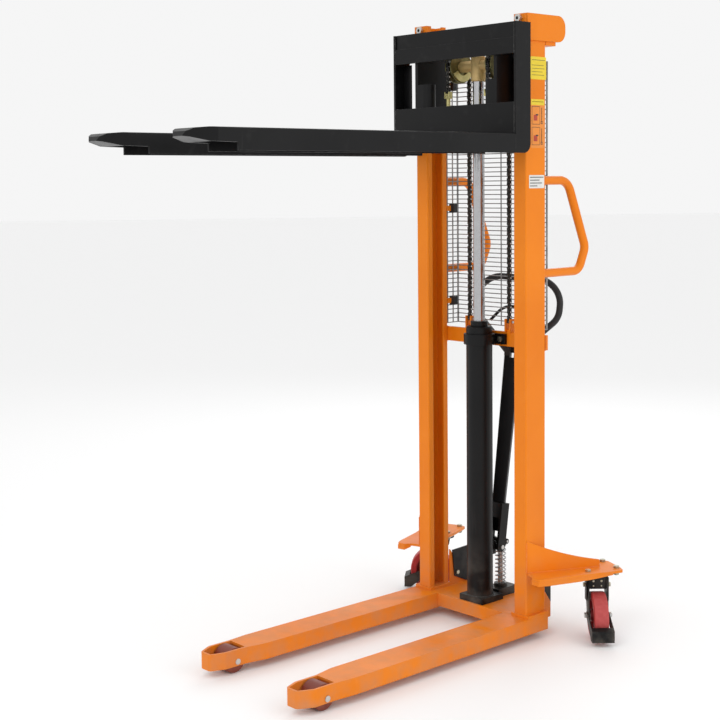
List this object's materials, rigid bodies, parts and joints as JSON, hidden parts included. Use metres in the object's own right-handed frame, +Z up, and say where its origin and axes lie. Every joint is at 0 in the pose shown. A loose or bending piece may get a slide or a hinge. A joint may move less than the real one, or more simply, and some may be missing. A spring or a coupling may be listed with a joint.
{
  "type": "manual walkie stacker",
  "caption": "Hand-operated hydraulic walkie stacker: orange channel mast on low straddle legs, black fork carriage raised on a chain hoist, pump tiller, mesh guard and braked castors.",
  "frame": {"origin": "middle of the overall box at floor level", "axes": "+Z up; forks and legs point along -Y, the operator stands on the +Y side; +X is the right-hand side seen from the operator's place looking at the mast"},
  "size_m": [0.9372, 1.613, 1.98],
  "materials": {
    "orange_paint": "semi-gloss orange paint on steel",
    "black_paint": "satin black paint on steel",
    "black_plastic": "matte black plastic coating",
    "zinc_steel": "bright zinc-plated steel",
    "chrome_rod": "hard chrome, ground",
    "yellow_zinc": "yellow-passivated zinc on steel",
    "chain_steel": "oiled dark steel",
    "roller_steel": "plain steel bearing ring",
    "roller_nylon": "red-brown polyurethane",
    "castor_red": "dark red polyurethane"
  },
  "bodies": {
    "mast": {"base_crossbeam": "orange_paint", "castor_bolts": "zinc_steel", "castor_plates": "zinc_steel", "chain_pins": "zinc_steel", "chain_rear_strands": "chain_steel", "cylinder_barrel": "black_paint", "cylinder_clamp": "black_paint", "cylinder_gland": "zinc_steel", "foot_guards": "black_paint", "frame_bolts": "zinc_steel", "guard_tabs": "orange_paint", "leg_left": "orange_paint", "leg_right": "orange_paint", "load_axles": "zinc_steel", "mast_channel_left": "orange_paint", "mast_channel_right": "orange_paint", "mesh_guard": "black_paint", "mid_crossbeam": "orange_paint", "outrigger_left": "orange_paint", "outrigger_right": "orange_paint", "pump_block": "black_paint", "pump_spring": "zinc_steel", "push_handle_left": "orange_paint", "push_handle_right": "orange_paint", "stop_bolts": "zinc_steel", "top_crossbeam": "orange_paint"},
    "ram": {"ram_rod": "chrome_rod", "crosshead": "yellow_zinc", "chain_wheel_axle": "zinc_steel", "chain_wraps": "chain_steel", "chain_front_strands": "chain_steel"},
    "carriage": {"carriage_cheeks": "black_paint", "carriage_upper_beam": "black_paint", "carriage_lower_beam": "black_paint", "carriage_brackets": "black_paint", "chain_anchor_bolts": "yellow_zinc", "fork_left": "black_paint", "fork_right": "black_paint"},
    "guide_rollers_lower": {"guide_rollers_lower": "roller_steel"},
    "guide_rollers_upper": {"guide_rollers_upper": "roller_steel"},
    "chain_wheel_left": {"chain_wheel_left": "yellow_zinc"},
    "chain_wheel_right": {"chain_wheel_right": "yellow_zinc"},
    "load_roller_left": {"load_roller_left": "roller_nylon"},
    "load_roller_right": {"load_roller_right": "roller_nylon"},
    "castor_left": {"castor_fork_left": "black_paint", "castor_axle_left": "zinc_steel"},
    "castor_right": {"castor_fork_right": "black_paint", "castor_axle_right": "zinc_steel"},
    "castor_wheel_left": {"castor_wheel_left": "castor_red"},
    "castor_wheel_right": {"castor_wheel_right": "castor_red"},
    "castor_brake_left": {"castor_brake_left": "black_paint"},
    "castor_brake_right": {"castor_brake_right": "black_paint"},
    "tiller": {"tiller_yoke": "black_paint", "tiller_pins": "zinc_steel", "press_roller": "zinc_steel", "tiller_shaft": "black_paint", "grip_loop": "black_plastic", "release_rod": "zinc_steel"},
    "release_lever": {"release_lever": "black_paint"},
    "pump_plunger": {"pump_plunger": "zinc_steel"}
  },
  "joints": [
    {"name": "ram_lift", "type": "slide", "parent": "mast", "child": "ram", "axis": [0, 0, 1], "range_m": [-0.7625, 0], "deforming": ["chain_rear_strands"]},
    {"name": "carriage_lift", "type": "slide", "parent": "ram", "child": "carriage", "axis": [0, 0, 1], "range_m": [-0.7625, 0], "deforming": ["chain_front_strands"]},
    {"name": "guide_lower_roll", "type": "hinge", "parent": "carriage", "child": "guide_rollers_lower", "pos_m": [0, 0.5195, 1.682], "axis": [1, 0, 0], "range_deg": [0, 2186]},
    {"name": "guide_upper_roll", "type": "hinge", "parent": "carriage", "child": "guide_rollers_upper", "pos_m": [0, 0.5195, 1.886], "axis": [1, 0, 0], "range_deg": [-2186, 0]},
    {"name": "chain_wheel_left_turn", "type": "hinge", "parent": "ram", "child": "chain_wheel_left", "pos_m": [-0.087, 0.5185, 1.838], "axis": [1, 0, 0], "range_deg": [0, 875]},
    {"name": "chain_wheel_right_turn", "type": "hinge", "parent": "ram", "child": "chain_wheel_right", "pos_m": [0.087, 0.5185, 1.838], "axis": [1, 0, 0], "range_deg": [0, 875]},
    {"name": "tiller_pump", "type": "hinge", "parent": "mast", "child": "tiller", "pos_m": [0, 0.5925, 0.245], "axis": [1, 0, 0], "range_deg": [-60, 0]},
    {"name": "plunger_stroke", "type": "slide", "parent": "mast", "child": "pump_plunger", "axis": [0, 0, 1], "range_m": [-0.0321, 0], "stiffness_N_per_m": 12000, "springref_m": 0.05, "deforming": ["pump_spring"]},
    {"name": "release_lever_swing", "type": "hinge", "parent": "tiller", "child": "release_lever", "pos_m": [0, 0.68635, 0.89627], "axis": [0.9063, 0.4183, -0.0603], "range_deg": [-12, 12], "stiffness_Nm_per_rad": 1.5},
    {"name": "load_roller_left_roll", "type": "hinge", "parent": "mast", "child": "load_roller_left", "pos_m": [-0.20425, -0.3745, 0.038], "axis": [1, 0, 0], "continuous": true},
    {"name": "castor_left_swivel", "type": "hinge", "parent": "mast", "child": "castor_left", "pos_m": [-0.341, 0.6955, 0.194], "axis": [0, 0, 1], "continuous": true},
    {"name": "castor_wheel_left_roll", "type": "hinge", "parent": "castor_left", "child": "castor_wheel_left", "pos_m": [-0.3725, 0.66773, 0.075], "axis": [0.6613, -0.7501, 0], "continuous": true},
    {"name": "castor_brake_left_press", "type": "hinge", "parent": "castor_left", "child": "castor_brake_left", "pos_m": [-0.3725, 0.66773, 0.075], "axis": [0.6613, -0.7501, 0], "range_deg": [0, 7]},
    {"name": "load_roller_right_roll", "type": "hinge", "parent": "mast", "child": "load_roller_right", "pos_m": [0.20425, -0.3745, 0.038], "axis": [1, 0, 0], "continuous": true},
    {"name": "castor_right_swivel", "type": "hinge", "parent": "mast", "child": "castor_right", "pos_m": [0.341, 0.6955, 0.194], "axis": [0, 0, 1], "continuous": true},
    {"name": "castor_wheel_right_roll", "type": "hinge", "parent": "castor_right", "child": "castor_wheel_right", "pos_m": [0.3725, 0.66773, 0.075], "axis": [0.6613, 0.7501, 0], "continuous": true},
    {"name": "castor_brake_right_press", "type": "hinge", "parent": "castor_right", "child": "castor_brake_right", "pos_m": [0.3725, 0.66773, 0.075], "axis": [0.6613, 0.7501, 0], "range_deg": [0, 7]}
  ],
  "couplings": [
    {"joint": "carriage_lift", "follows": "ram_lift", "ratio": 1},
    {"joint": "guide_lower_roll", "follows": "ram_lift", "rad_per_m": -50},
    {"joint": "guide_upper_roll", "follows": "ram_lift", "rad_per_m": 50},
    {"joint": "chain_wheel_left_turn", "follows": "ram_lift", "rad_per_m": -20},
    {"joint": "chain_wheel_right_turn", "follows": "ram_lift", "rad_per_m": -20},
    {"joint": "plunger_stroke", "follows": "tiller_pump", "m_per_rad": 0.030462}
  ]
}
